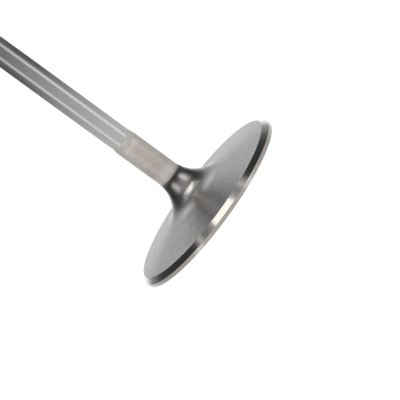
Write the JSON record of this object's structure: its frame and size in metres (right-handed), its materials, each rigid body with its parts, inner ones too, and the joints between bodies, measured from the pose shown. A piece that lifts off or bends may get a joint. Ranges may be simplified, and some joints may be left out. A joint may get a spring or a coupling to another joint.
{
  "type": "engine valve",
  "caption": "Poppet intake valve: a round flat-faced head with an angled ground seat sweeps up into a long straight stem with a keeper groove near its chamfered tip.",
  "frame": {"origin": "centre of the flat combustion face, on which the valve stands", "axes": "+Z along the valve's axis from the head up the stem to the tip; X and Y lie in the combustion face, and every direction round the axis is alike"},
  "size_m": [0.056, 0.056, 0.13],
  "materials": {
    "valve_steel": "ground seat, margin and stem, satin turned head and neck, polished sweep under the head"
  },
  "bodies": {
    "root": {"engine_valve": "valve_steel"}
  },
  "joints": []
}
